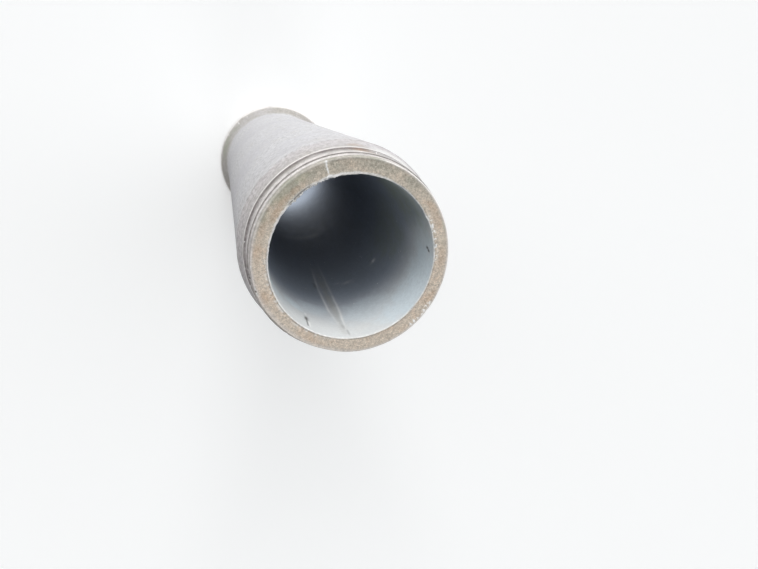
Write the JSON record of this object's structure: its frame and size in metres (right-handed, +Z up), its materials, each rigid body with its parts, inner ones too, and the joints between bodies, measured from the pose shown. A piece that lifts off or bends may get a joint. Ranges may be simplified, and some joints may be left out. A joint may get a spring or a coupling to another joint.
{
  "type": "concrete culvert pipe",
  "caption": "Precast concrete culvert pipe with a bell-and-spigot joint: a thick-walled tube, stepped at its upper end and flared to a socket at the lower one, on which it stands.",
  "frame": {"origin": "centre of the bell's end face, on the ground under the pipe's axis", "axes": "+Z up the pipe's axis, from the bell to the spigot; -Y is the side that is uppermost in the picture, where the pipe lies"},
  "size_m": [0.808, 0.8076, 2.5404],
  "materials": {
    "concrete": "cast concrete, pale grey outside, tan and sandy on the end faces, with water stains and chipped edges"
  },
  "bodies": {
    "root": {"culvert_pipe": "concrete"}
  },
  "joints": []
}
